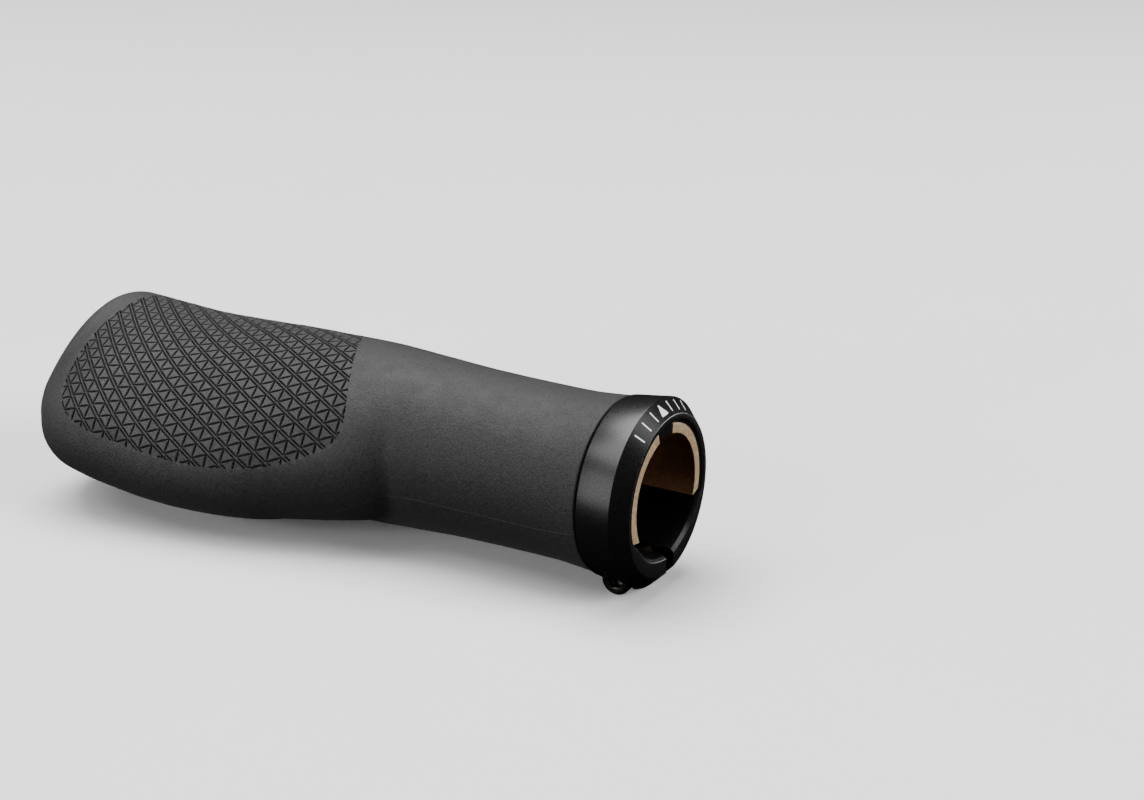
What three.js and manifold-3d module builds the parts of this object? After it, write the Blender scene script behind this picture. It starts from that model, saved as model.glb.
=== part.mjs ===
// Left-hand handlebar grip: a soft moulded sleeve with a palm wing over a hard core tube, held on the bar
// by a slotted clamp collar and one socket screw, closed at the outboard end by a plug.
// Millimetres, +Z up. +X runs along the bar from the outboard end towards the collar, -Y is the rider's side.
// The origin is on the bar's axis at the outboard face.
import * as THREE from 'three';
import { mergeVertices } from 'three/addons/utils/BufferGeometryUtils.js';
import Module from 'manifold-3d';

const wasm = await Module();
wasm.setup();

// Lengths along the bar
const grip_length = 131.6;
const collar_width = 9.6;
const collar_gap = 0.4;
const core_recess = 0.5;
const finger_length = 14;

// Bar, core tube and the rubber over it
const bar_radius = 11.1;
const bar_clearance = 0.1;
const core_wall = 1.8;
const bond_gap = 0.06;

// Clamp collar
const finger_clearance = 0.2;
const collar_wall = 4.2;
const face_setback = 2.6;
const rim_setback = 2.6;
const flank_drop = 0.9;
const bore_edge = 0.6;
const pad_clearance = 0.25;
const pad_edge = 0.55;
const mark_angle = 96;
const key_half_angle = 9.5;
const finger_start_angle = 12;
const finger_end_angle = 111;
const finger_end_slant = 3;
const pad_start_angle = 115;
const pad_ramp_angle = 118;
const pad_full_angle = 164;
const pad_ramp = 0.75;
const slit_width = 2.8;

// Clamp screw
const screw_radius = 1.5;
const screw_hole_clearance = 0.15;
const screw_cover = 0.5;
const screw_length = 14;
const screw_inboard = 1;
const screw_head_radius = 2.75;
const screw_head_height = 3;
const screw_seat = 8.6;
const screw_seat_gap = 0.3;
const pocket_clearance = 0.35;
const hex_across_flats = 2.5;
const hex_depth = 1.7;
const screw_head_edge = 0.3;
const screw_point = 0.4;
const screw_end_clearance = 0.6;

// Outboard end
const boss_edge_round = 2.4;
const plug_radius = 14;
const plug_rim = 2.6;
const plug_gap = 0.35;
const plug_stem_length = 9;
const plug_stem_clearance = 0.3;
const plug_stem_taper = 0.4;
const plug_edge = 0.4;

// Rubber thickness over the core: distance from the outboard face, thickness
const rubber_stations = [[0, 5.3], [13, 4.6], [25, 4.05], [37, 4.2], [50, 4.5], [66, 4.5], [80, 3.8], [92, 3.1],
  [104, 2.75]];
const neck_rubber = 2.65;
const neck_before_end = 9;
const cuff_rubber = 3.2;

// Palm wing: distance from the outboard face with the reach of the wing's edge centre from the bar's axis,
// with the radius of that edge, and with the angle by which the wing droops
const reach_stations = [[0, 6.5], [1.5, 12.3], [3, 16.6], [5, 19], [8, 21.9], [14, 24.3], [22, 24.8],
  [30, 24.75], [38, 24.6], [47, 23.4], [55, 21], [62, 17.2], [70, 13.2], [78, 8.8], [86, 3.2], [93, 0]];
const wing_edge_stations = [[0, 12.1], [6, 9], [20, 9.6], [50, 8.6], [75, 10.8]];
const wing_droop_stations = [[0, 4.7], [15, 5.3], [35, 10.9], [60, 15.4], [85, 12.1]];
const wing_crown = 0.093;

// Tread: thin ribs with bands of small triangles between them, laid out in distance along the bar and
// distance round the section from its top, towards the wing; all ribs follow one course, side by side
const tread_step = 2.8;
const tread_height = 3.44;
const tread_start = 33.1;
const rib_course_stations = [[5, 6.4], [19, 17.5], [33.1, 26.55], [47, 33.1], [61, 39.3], [76, 45.6]];
const tread_sink = 0.2;
const groove_depth = 0.6;
const groove_width = 0.46;
const rib_width = 0.34;
const rib_groove_width = 0.36;
const tread_clearance = 1;
const tread_outline = [[6.8, -6], [6.8, 5], [8.2, 16], [10, 25], [13.2, 33.4], [19, 38], [30, 38.6], [46, 38.2],
  [58, 34.9], [68.5, 29], [73.8, 23.6], [72, 16.5], [66.3, 4.5], [61, -5], [55, -11], [40, -13], [20, -12],
  [9, -9.5]];

// Fineness
const ring_sides = 60;
const collar_sides = 90;
const screw_sides = 32;
const outline_points = 48;
const spine_steps = 16;
const sweep_rays = 360;
const ramp_steps = 4;
const normal_step = 0.4;
const cut_margin = 1;
const ring_places = [0, 0.6, 2.4, 5, 9, 14, 21, 29, 38, 47, 56, 64, 71, 78, 86, 95, 106];
const cuff_ring = 3;

const radians = THREE.MathUtils.degToRad;
const core_bore = bar_radius + bar_clearance;
const core_radius = core_bore + core_wall;
const sleeve_bore = core_radius + bond_gap;
const collar_start = grip_length - collar_width;
const sleeve_end = collar_start - collar_gap;
const finger_slot_radius = core_radius + finger_clearance;
const pad_radius = bar_radius + pad_clearance;
const rim_radius = finger_slot_radius + collar_wall;
const screw_axis = bar_radius + screw_cover + screw_radius;
const plug_recess_depth = plug_rim + plug_gap;

// A smooth curve through stations of distance and value, with no overshoot between them
function smoothThrough(stations) {
  const slopes = stations.slice(1).map(([x, v], i) => (v - stations[i][1]) / (x - stations[i][0]));
  const tangents = stations.map((_, i) => {
    if (i === 0) return slopes[0];
    if (i === stations.length - 1) return slopes[i - 1];
    const [before, after] = [slopes[i - 1], slopes[i]];
    return before * after > 0 ? (2 * before * after) / (before + after) : 0;
  });
  return (x) => {
    const last = stations.length - 1;
    if (x <= stations[0][0]) return stations[0][1];
    if (x >= stations[last][0]) return stations[last][1];
    const i = stations.findIndex(([end]) => end > x) - 1;
    const span = stations[i + 1][0] - stations[i][0];
    const t = (x - stations[i][0]) / span;
    const [a, b] = [stations[i][1], stations[i + 1][1]];
    const [ta, tb] = [tangents[i] * span, tangents[i + 1] * span];
    return a + t * (ta + t * (3 * (b - a) - 2 * ta - tb + t * (2 * (a - b) + ta + tb)));
  };
}

const neck = sleeve_end - neck_before_end;
const rubberAt = smoothThrough([
  ...rubber_stations.filter(([x]) => x < neck - cut_margin),
  [neck, neck_rubber],
  [sleeve_end, cuff_rubber],
]);
const reachAt = smoothThrough(reach_stations);
const wingEdgeAt = smoothThrough(wing_edge_stations);
const wingDroopAt = smoothThrough(wing_droop_stations);
const ribCourseAt = smoothThrough(rib_course_stations);

// Boss at the outboard face, rounded over its edge
function endRounding(x) {
  const t = Math.min(x / boss_edge_round, 1);
  return boss_edge_round * (1 - Math.sqrt(1 - (1 - t) ** 2));
}

// Outline of the sleeve at a distance along the bar: the outer edge of a row of circles,
// from the bar's own circle to the small one that rounds the wing's edge
function sleeveSection(x) {
  const body = core_radius + rubberAt(x) - endRounding(x);
  const reach = reachAt(x);
  const droop = radians(wingDroopAt(x));
  const circles = [];
  for (let k = 0; k <= spine_steps; k += 1) {
    const t = k / spine_steps;
    circles.push({
      y: -reach * t * Math.cos(droop),
      z: -reach * t * Math.sin(droop) + wing_crown * reach * 4 * t * (1 - t),
      r: body + (Math.min(wingEdgeAt(x), body) - body) * t,
    });
  }
  const points = [];
  for (let k = 0; k < sweep_rays; k += 1) {
    const angle = (2 * Math.PI * k) / sweep_rays;
    const [c, s] = [Math.cos(angle), Math.sin(angle)];
    let far = 0;
    for (const circle of circles) {
      const along = circle.y * c + circle.z * s;
      const across = circle.y * s - circle.z * c;
      if (Math.abs(across) < circle.r) far = Math.max(far, along + Math.sqrt(circle.r ** 2 - across ** 2));
    }
    points.push([far * c, far * s]);
  }
  return points;
}

// The same outline as a line that is measured from its top, positive towards the wing
const sectionCache = new Map();
function measuredSection(x) {
  const name = x.toFixed(4);
  if (sectionCache.has(name)) return sectionCache.get(name);
  const points = sleeveSection(x);
  const highest = sweep_rays / 4;
  const lengths = [0];
  for (let k = 1; k <= sweep_rays; k += 1) {
    const [a, b] = [points[(highest + k - 1) % sweep_rays], points[(highest + k) % sweep_rays]];
    lengths.push(lengths[k - 1] + Math.hypot(b[0] - a[0], b[1] - a[1]));
  }
  const total = lengths[sweep_rays];
  const at = (distance) => {
    const d = ((distance % total) + total) % total;
    let [low, high] = [0, sweep_rays];
    while (high - low > 1) {
      const middle = (low + high) >> 1;
      if (lengths[middle] <= d) low = middle;
      else high = middle;
    }
    const t = (d - lengths[low]) / (lengths[high] - lengths[low]);
    const [a, b] = [points[(highest + low) % sweep_rays], points[(highest + high) % sweep_rays]];
    return [a[0] + (b[0] - a[0]) * t, a[1] + (b[1] - a[1]) * t];
  };
  const section = { total, at };
  sectionCache.set(name, section);
  return section;
}

// A place on the sleeve's skin, raised or sunk along the outline's own normal
function skinPoint(x, around, rise) {
  const section = measuredSection(x);
  const [y, z] = section.at(around);
  const [y0, z0] = section.at(around - normal_step);
  const [y1, z1] = section.at(around + normal_step);
  const length = Math.hypot(y1 - y0, z1 - z0);
  return new THREE.Vector3(x, y + (rise * (z1 - z0)) / length, z - (rise * (y1 - y0)) / length);
}

// Meshes and solids
function geometryFrom(vertices, triangles) {
  const geometry = new THREE.BufferGeometry();
  geometry.setAttribute('position', new THREE.Float32BufferAttribute(vertices, 3));
  geometry.setIndex(triangles);
  return geometry;
}

function solidFrom(geometry) {
  const bare = geometry.clone();
  bare.deleteAttribute('normal');
  bare.deleteAttribute('uv');
  const merged = mergeVertices(bare, 1e-5);
  return new wasm.Manifold(new wasm.Mesh({
    numProp: 3,
    vertProperties: new Float32Array(merged.attributes.position.array),
    triVerts: new Uint32Array(merged.index.array),
  }));
}

function geometryOf(solid) {
  const mesh = solid.getMesh();
  const geometry = geometryFrom(Array.from(mesh.vertProperties), Array.from(mesh.triVerts));
  geometry.computeVertexNormals();
  return geometry;
}

// A solid turned about the bar's axis, from a profile of distance along the bar and radius
function turned(profile, sides = ring_sides) {
  const points = [...profile, profile[0]].map(([x, r]) => new THREE.Vector2(r, x));
  const geometry = new THREE.LatheGeometry(points, sides);
  return geometry.rotateZ(-Math.PI / 2).rotateX(Math.PI);
}

// A closed loft through rings of the same number of points
function loft(rings) {
  const count = rings[0].length;
  const vertices = rings.flat().flatMap((p) => [p.x, p.y, p.z]);
  const triangles = [];
  for (let i = 0; i < rings.length - 1; i += 1) {
    for (let k = 0; k < count; k += 1) {
      const [a, b] = [i * count + k, i * count + ((k + 1) % count)];
      triangles.push(a, a + count, b, b, a + count, b + count);
    }
  }
  const last = (rings.length - 1) * count;
  for (let k = 1; k < count - 1; k += 1) {
    triangles.push(0, k, k + 1);
    triangles.push(last, last + k + 1, last + k);
  }
  return geometryFrom(vertices, triangles);
}

function ringAt(x) {
  const { total } = measuredSection(x);
  return Array.from({ length: outline_points }, (_, k) => skinPoint(x, (-total * k) / outline_points, 0));
}

// The tread's flat layout: points of distance along the bar, distance round the section and height
function clipToOutline(polygon, outline) {
  let kept = polygon;
  for (let k = 0; k < outline.length; k += 1) {
    const [a, b] = [outline[k], outline[(k + 1) % outline.length]];
    const side = ([x, y]) => (b[0] - a[0]) * (y - a[1]) - (b[1] - a[1]) * (x - a[0]);
    const next = [];
    kept.forEach((p, i) => {
      const q = kept[(i + 1) % kept.length];
      if (side(p) <= 0) next.push(p);
      if (side(p) * side(q) < 0) {
        const [from, to] = p[0] < q[0] || (p[0] === q[0] && p[1] < q[1]) ? [p, q] : [q, p];
        const t = side(from) / (side(from) - side(to));
        next.push(from.map((value, axis) => value + (to[axis] - value) * t));
      }
    });
    kept = next;
  }
  return kept;
}

// Cuts every corner of an outline twice, so that it becomes round
function roundedOutline(points, rounds = 2) {
  let outline = points;
  const between = (p, q, t) => [p[0] + (q[0] - p[0]) * t, p[1] + (q[1] - p[1]) * t];
  for (let n = 0; n < rounds; n += 1) {
    outline = outline.flatMap((p, i) => {
      const q = outline[(i + 1) % outline.length];
      return [between(p, q, 0.25), between(p, q, 0.75)];
    });
  }
  return outline;
}

// A solid over the skin: its lower side is a relief of polygons that share their edges,
// and its upper side clears the skin
function reliefSlab(polygons, top) {
  const numbers = new Map();
  const points = [];
  const numberOf = (point) => {
    const name = `${point[0].toFixed(4)} ${point[1].toFixed(4)}`;
    if (!numbers.has(name)) numbers.set(name, points.push(point) - 1);
    return numbers.get(name);
  };
  const simplified = (numbered) => numbered.filter((n, i) => n !== numbered[(i + 1) % numbered.length]);
  const faces = polygons.map((polygon) => simplified(polygon.map(numberOf)));
  const edges = new Set();
  const triangles = [];
  const above = points.length;
  for (const face of faces.filter((all) => all.length > 2)) {
    face.forEach((n, i) => edges.add(`${n} ${face[(i + 1) % face.length]}`));
    for (let k = 1; k < face.length - 1; k += 1) {
      triangles.push(face[0], face[k + 1], face[k]);
      triangles.push(above + face[0], above + face[k], above + face[k + 1]);
    }
  }
  for (const edge of edges) {
    const [m, n] = edge.split(' ').map(Number);
    if (!edges.has(`${n} ${m}`)) triangles.push(m, above + n, above + m, m, n, above + n);
  }
  const lower = points.flatMap(([x, around, height]) => skinPoint(x, around, height).toArray());
  const upper = points.flatMap(([x, around]) => skinPoint(x, around, top).toArray());
  return geometryFrom([...lower, ...upper], triangles);
}

// Corners of the polygon whose edges lie inside those of a triangle by three distances
function drawnIn(corners, insets) {
  const lines = corners.map((p, i) => {
    const q = corners[(i + 1) % 3];
    const length = Math.hypot(q[0] - p[0], q[1] - p[1]);
    const normal = [(q[1] - p[1]) / length, (p[0] - q[0]) / length];
    return { normal, offset: p[0] * normal[0] + p[1] * normal[1] + insets[i] };
  });
  return lines.map((line, i) => {
    const other = lines[(i + 2) % 3];
    const det = line.normal[0] * other.normal[1] - line.normal[1] * other.normal[0];
    return [(line.offset * other.normal[1] - other.offset * line.normal[1]) / det,
      (line.normal[0] * other.offset - other.normal[0] * line.offset) / det];
  });
}

const tread_limit = roundedOutline(tread_outline);
const tread_top = -tread_sink;
const tread_floor = -tread_sink - groove_depth;

// A node of the lattice on its rib's middle line, or beside it by a distance across the rib
function latticeNode(i, j, beside, height) {
  const x = tread_start + i * tread_step;
  const slope = Math.atan2(ribCourseAt(x + tread_step) - ribCourseAt(x - tread_step), 2 * tread_step);
  return [x - beside * Math.sin(slope), ribCourseAt(x) + j * tread_height + beside * Math.cos(slope), height];
}

// A raised triangle with a sloping side down to the groove on each edge; its first edge runs along a rib
function raisedTriangle(corners) {
  const insets = [rib_groove_width / 2, groove_width / 2, groove_width / 2];
  const top = drawnIn(corners, insets).map((p) => [...p, tread_top]);
  const sides = corners.map((p, k) => [p, corners[(k + 1) % 3], top[(k + 1) % 3], top[k]]);
  return [top, ...sides];
}

function ribPiece(i, j) {
  const half = rib_width / 2;
  const foot = half + rib_groove_width / 2;
  const lines = [[-foot, tread_floor], [-half, tread_top], [half, tread_top], [foot, tread_floor]];
  return lines.slice(1).map(([beside, height], k) => {
    const [before, low] = lines[k];
    return [latticeNode(i, j, before, low), latticeNode(i, j, beside, height),
      latticeNode(i + 1, j, beside, height), latticeNode(i + 1, j, before, low)];
  });
}

function treadRelief() {
  const along = tread_limit.map(([x]) => x);
  const around = tread_limit.map(([, distance]) => distance);
  const foot = rib_width / 2 + rib_groove_width / 2;
  const polygons = [];
  const first = Math.floor((Math.min(...along) - tread_start) / tread_step) - 1;
  const last = Math.ceil((Math.max(...along) - tread_start) / tread_step) + 1;
  for (let i = first; i < last; i += 1) {
    const course = ribCourseAt(tread_start + i * tread_step);
    const low = Math.floor((Math.min(...around) - course) / tread_height) - 2;
    const high = Math.ceil((Math.max(...around) - course) / tread_height) + 1;
    for (let j = low; j < high; j += 1) {
      const [near, nearNext] = [0, 1].map((k) => latticeNode(i + k, j, foot, tread_floor));
      const [far, farNext] = [0, 1].map((k) => latticeNode(i + k, j + 1, -foot, tread_floor));
      polygons.push(...ribPiece(i, j));
      polygons.push(...raisedTriangle([nearNext, near, far]), ...raisedTriangle([far, farNext, nearNext]));
    }
  }
  return polygons.map((polygon) => clipToOutline(polygon, tread_limit)).filter((polygon) => polygon.length > 2);
}

// Sleeve
// A round cutter on the bar's axis, between two distances along it
const roundCut = (radius, from, to) => solidFrom(turned([[from, 0], [from, radius], [to, radius], [to, 0]]));

function rubberSleeve() {
  const places = [...ring_places.filter((x) => x < neck - cut_margin), neck, sleeve_end - cuff_ring, sleeve_end];
  const body = solidFrom(loft(places.map(ringAt)));
  const bore = roundCut(sleeve_bore, -cut_margin, grip_length);
  const recess = roundCut(plug_radius + plug_gap, -cut_margin, plug_recess_depth);
  const relief = solidFrom(reliefSlab(treadRelief(), tread_clearance));
  return body.subtract(relief).subtract(bore).subtract(recess);
}

// Core tube, whose inboard end is cut into two fingers that the collar closes on
const polar = (radius, angle) => [radius * Math.cos(radians(angle)), radius * Math.sin(radians(angle))];

function arc(radius, from, to) {
  const steps = Math.max(1, Math.round(Math.abs(to - from) / (360 / ring_sides)));
  return Array.from({ length: steps + 1 }, (_, k) => polar(radius, from + ((to - from) * k) / steps));
}

// A block with its outline in the section plane, between two distances along the bar
function block(outline, from, to) {
  const shape = new THREE.Shape(outline.map(([y, z]) => new THREE.Vector2(y, z)));
  const geometry = new THREE.ExtrudeGeometry(shape, { depth: to - from, bevelEnabled: false, steps: 1 });
  const frame = new THREE.Matrix4().makeBasis(
    new THREE.Vector3(0, 1, 0),
    new THREE.Vector3(0, 0, 1),
    new THREE.Vector3(1, 0, 0),
  );
  return solidFrom(geometry.applyMatrix4(frame).translate(from, 0, 0));
}

const mirrored = (outline) => outline.map(([y, z]) => [-y, z]).reverse();
const top = 90;
const far = rim_radius * 2;

function coreTube() {
  const start = plug_recess_depth;
  const end = grip_length - core_recess;
  const tube = solidFrom(turned([[start, core_bore], [start, core_radius], [end, core_radius], [end, core_bore]]));
  const finger_end = top - finger_end_angle;
  const key_gap = [[0, 0], polar(far, top - finger_start_angle), polar(far, top + finger_start_angle)];
  const pad_gap = [
    polar(core_bore - cut_margin, finger_end - finger_end_slant),
    polar(core_bore, finger_end - finger_end_slant),
    polar(core_radius, finger_end + finger_end_slant),
    polar(far, finger_end + finger_end_slant),
    [0, -far],
    [0, 0],
  ];
  const cuts = [
    block(key_gap, sleeve_end + collar_gap / 2, grip_length),
    block(pad_gap, end - finger_length, grip_length),
    block(mirrored(pad_gap), end - finger_length, grip_length),
  ];
  return cuts.reduce((solid, cutter) => solid.subtract(cutter), tube);
}

// Clamp collar
const screw_x = grip_length - collar_width / 2 - screw_inboard;
const screw_z = -screw_axis;

function roundBar(radius, from, to) {
  const bar = new THREE.CylinderGeometry(radius, radius, to - from, screw_sides);
  return solidFrom(bar.translate(screw_x, (from + to) / 2, screw_z));
}

// Room for one finger: from the key round to the pad, whose bore closes in on the bar by a slow ramp
function fingerSlot() {
  const start = top - key_half_angle;
  const inner = pad_radius - cut_margin;
  const ramp = Array.from({ length: ramp_steps + 1 }, (_, k) => {
    const t = k / ramp_steps;
    return polar(pad_radius + pad_ramp * t, top - pad_full_angle + (pad_full_angle - pad_ramp_angle) * t);
  });
  return [
    ...arc(finger_slot_radius, top - pad_start_angle, start),
    ...arc(inner, start, top - pad_full_angle),
    ...ramp,
  ];
}

function clampCollar() {
  const ring = solidFrom(turned([
    [collar_start, pad_radius],
    [collar_start, rim_radius - flank_drop],
    [grip_length - rim_setback, rim_radius],
    [grip_length, rim_radius - face_setback],
    [grip_length, pad_radius],
  ], collar_sides));
  const [from, to] = [collar_start - cut_margin, grip_length + cut_margin];
  const slot = fingerSlot();
  const [right, left] = [top - pad_start_angle, top + pad_start_angle];
  const mouth = [...arc(finger_slot_radius + bore_edge, right, left), ...arc(pad_radius - cut_margin, left, right)];
  const lead_in = solidFrom(turned([
    [grip_length - pad_edge, 0],
    [grip_length - pad_edge, pad_radius],
    [to, pad_radius + pad_edge + cut_margin],
    [to, 0],
  ], collar_sides));
  const slit = [[-slit_width / 2, -far], [slit_width / 2, -far], [slit_width / 2, 0], [-slit_width / 2, 0]];
  const cuts = [
    block(slot, from, to),
    block(mirrored(slot), from, to),
    block(mouth, grip_length - core_recess, to),
    block(slit, from, to),
    lead_in,
    roundBar(screw_radius + screw_hole_clearance, -screw_seat - cut_margin, screw_tip + screw_end_clearance),
    roundBar(screw_head_radius + pocket_clearance, -far, -screw_seat),
  ];
  return cuts.reduce((solid, cutter) => solid.subtract(cutter), ring);
}

// Clamp screw, turned about its own axis and laid across the slit
const screw_under_head = -screw_seat - screw_seat_gap;
const screw_tip = screw_under_head + screw_length;

function clampScrew() {
  const head = screw_under_head - screw_head_height;
  const profile = [
    [0, head],
    [screw_head_radius - screw_head_edge, head],
    [screw_head_radius, head + screw_head_edge],
    [screw_head_radius, screw_under_head],
    [screw_radius, screw_under_head],
    [screw_radius, screw_tip - screw_point],
    [screw_radius - screw_point, screw_tip],
    [0, screw_tip],
  ];
  const shape = new THREE.LatheGeometry(profile.map(([r, y]) => new THREE.Vector2(r, y)), screw_sides);
  const corner = hex_across_flats / Math.sqrt(3);
  const socket = new THREE.CylinderGeometry(corner, corner, hex_depth * 2, 6);
  return solidFrom(shape).subtract(solidFrom(socket.translate(0, head, 0)));
}

// End plug: a disc in the sleeve's recess with a stem in the core's bore
function endPlug() {
  const stem_radius = core_bore - plug_stem_clearance;
  return solidFrom(turned([
    [0, 0],
    [0, plug_radius - plug_edge],
    [plug_edge, plug_radius],
    [plug_rim, plug_radius],
    [plug_rim, stem_radius],
    [plug_rim + plug_stem_length, stem_radius - plug_stem_taper],
    [plug_rim + plug_stem_length, 0],
  ]));
}

// Assembly: the collar, the core's fingers and the screw share one turn about the bar
function piece(name, solid, look) {
  const mesh = new THREE.Mesh(geometryOf(solid), new THREE.MeshStandardMaterial(look));
  mesh.name = name;
  return mesh;
}

const group = new THREE.Group();
group.add(piece('rubber_sleeve', rubberSleeve(), { color: 0x232325, roughness: 0.75, metalness: 0 }));
group.add(piece('end_plug', endPlug(), { color: 0x1c1c1e, roughness: 0.55, metalness: 0 }));

const clamp = new THREE.Group();
clamp.rotation.x = radians(mark_angle - top);
clamp.add(piece('core_tube', coreTube(), { color: 0xa48a66, roughness: 0.6, metalness: 0 }));
clamp.add(piece('clamp_collar', clampCollar(), { color: 0x0d0d0e, roughness: 0.3, metalness: 0.8 }));
const screw = piece('clamp_screw', clampScrew(), { color: 0x141414, roughness: 0.25, metalness: 0.9 });
screw.position.set(screw_x, 0, screw_z);
clamp.add(screw);
group.add(clamp);

export default group;
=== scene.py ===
"""Left-hand handlebar grip: visible sleeve, core, clamp collar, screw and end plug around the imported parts.

Lengths other than properties are in millimetres until a mesh is made. +X runs along the bar from the
outboard end to the collar, -Y is the rider's side, +Z is up, and the bar's axis is the line y = z = 0.
"""

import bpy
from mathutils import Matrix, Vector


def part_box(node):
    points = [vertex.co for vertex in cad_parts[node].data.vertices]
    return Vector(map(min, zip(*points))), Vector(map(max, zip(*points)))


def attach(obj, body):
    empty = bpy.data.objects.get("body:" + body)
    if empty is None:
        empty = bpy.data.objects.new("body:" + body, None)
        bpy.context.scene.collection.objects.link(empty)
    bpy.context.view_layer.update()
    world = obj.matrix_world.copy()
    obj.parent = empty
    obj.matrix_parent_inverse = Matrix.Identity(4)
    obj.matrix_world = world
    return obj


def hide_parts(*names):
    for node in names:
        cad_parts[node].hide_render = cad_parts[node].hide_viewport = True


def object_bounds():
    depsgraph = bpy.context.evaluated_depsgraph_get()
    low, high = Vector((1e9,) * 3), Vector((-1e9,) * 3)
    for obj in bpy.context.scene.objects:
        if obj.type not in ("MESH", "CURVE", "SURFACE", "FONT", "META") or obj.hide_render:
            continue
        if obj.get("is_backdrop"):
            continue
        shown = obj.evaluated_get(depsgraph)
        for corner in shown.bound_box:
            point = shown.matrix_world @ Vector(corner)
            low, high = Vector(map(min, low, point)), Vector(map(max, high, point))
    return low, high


bl_info = {
    "name": "Handlebar Grip",
    "version": (1, 0, 0),
    "blender": (4, 5, 0),
    "location": "View3D > Sidebar > Grip",
    "description": "Builds a soft handlebar grip with a treaded palm wing, a clamp collar and an end plug",
    "category": "Add Mesh",
}

import math

import bmesh
import bpy
import numpy as np
from bpy.props import FloatProperty, FloatVectorProperty, PointerProperty
from bpy.types import Operator, Panel, PropertyGroup
from mathutils import Vector
from mathutils.geometry import delaunay_2d_cdt

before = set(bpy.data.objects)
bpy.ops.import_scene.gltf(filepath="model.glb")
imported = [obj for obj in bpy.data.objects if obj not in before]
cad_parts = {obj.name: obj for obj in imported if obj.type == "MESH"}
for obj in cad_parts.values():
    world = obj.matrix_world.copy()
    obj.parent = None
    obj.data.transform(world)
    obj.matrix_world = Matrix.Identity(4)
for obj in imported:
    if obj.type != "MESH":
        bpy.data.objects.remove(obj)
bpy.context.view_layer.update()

MM = 0.001


def node_box(node):
    """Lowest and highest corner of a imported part, in millimetres."""
    low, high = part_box(node)
    return np.array(low) / MM, np.array(high) / MM


# Lengths along the bar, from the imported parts
sleeve_end = node_box("rubber_sleeve")[1][0]
collar_start, collar_end = node_box("clamp_collar")[0][0], node_box("clamp_collar")[1][0]
core_start, core_end = node_box("core_tube")[0][0], node_box("core_tube")[1][0]
plug_depth = node_box("end_plug")[1][0]

# Bar, core tube and the rubber over it
core_bore = 11.2
core_radius = 13.0
bond_gap = 0.06
sleeve_bore = core_radius + bond_gap

# Sleeve: stations of distance from the outboard face and size
rubber_stations = [
    (0, 5.3), (13, 4.6), (25, 4.05), (37, 4.2), (50, 4.5), (66, 4.5), (80, 3.8), (92, 3.1), (104, 2.75),
    (sleeve_end - 9, 2.65), (sleeve_end, 3.2),
]
reach_stations = [
    (0, 6.5), (1.5, 12.3), (3, 16.6), (5, 19), (8, 21.9), (14, 24.3), (22, 24.8), (30, 24.75), (38, 24.6),
    (47, 23.4), (55, 21), (62, 17.2), (70, 13.2), (78, 8.8), (86, 3.2), (93, 0),
]
wing_edge_stations = [(0, 12.1), (6, 9), (20, 9.6), (50, 8.6), (75, 10.8)]
wing_droop_stations = [(0, 4.7), (15, 5.3), (35, 10.9), (60, 15.4), (85, 12.1)]
wing_crown = 0.093
boss_edge_round = 2.4
spine_steps = 72
section_rays = 720

# Tread, laid out in distance along the bar and distance round the section from its top
tread_step = 2.8
tread_height = 3.44
tread_start = 33.1
rib_course_stations = [(5, 6.4), (19, 17.5), (33.1, 26.55), (47, 33.1), (61, 39.3), (76, 45.6)]
tread_outline = [
    (6.8, -6), (6.8, 5), (8.2, 16), (10, 25), (13.2, 33.4), (19, 38), (30, 38.6), (46, 38.2), (58, 34.9),
    (68.5, 29), (73.8, 23.6), (72, 16.5), (66.3, 4.5), (61, -5), (55, -11), (40, -13), (20, -12), (9, -9.5),
]

# Mould line that runs low on the rider's side of the neck
mould_line = [
    (66, 43), (72, 39.9), (75, 37.8), (77, 36), (79, 34.4), (81.5, 32.2), (90, 30.9), (106, 30.3),
    (sleeve_end, 30),
]
mould_line_profile = [(-0.2, None), (-0.1, 0.03), (0, 0.06), (0.1, 0.03), (0.2, None)]
mould_line_step = 0.5
mould_line_foot = -0.3
mould_line_fade = 8
mould_line_sunk = 0.12
mould_line_gap = 0.4

# Clamp collar, with angles measured from its mark
finger_slot_radius = core_radius + 0.2
pad_radius = 11.35
rim_radius = finger_slot_radius + 4.2
flank_drop = 0.9
rim_setback = 2.6
face_setback = 2.6
mouth_depth = 0.5
mouth_step = 0.6
mark_angle = math.radians(96)
key_half_angle = 9.5
finger_half_gap = 12
finger_end_angle = 111
finger_end_slant = 3
finger_length = 14
core_edge_round = 0.36
wall_stations = [
    (109, finger_slot_radius), (118, 12.15), (127, 11.98), (136, 11.85), (150, 11.55), (164, pad_radius),
]
mouth_stations = [
    (103, finger_slot_radius + mouth_step), (109, 13.35), (113, 12.98), (118, 12.68), (136, 12.4),
    (164, pad_radius + 0.55),
]
slit_width = 2.8
collar_rounding = np.array([0, 2, 1.4, 1, 0.6, 0, 0.6])
pad_lip = (0.3, 0.2)
pad_wall_setback = 0.05
slit_fade = (120, 180)
cut_edge_share = 0.9

# Angles of the collar's rings: at the key's step, on to the pads, over their start and on to the slit
key_blend = 0.3
key_jump = 0.01
key_spacing = 1.3
after_key = 1.5
plain_spacing = 2.0
pad_spacing = 0.75
pad_run = 2
wall_rings = 46

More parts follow.
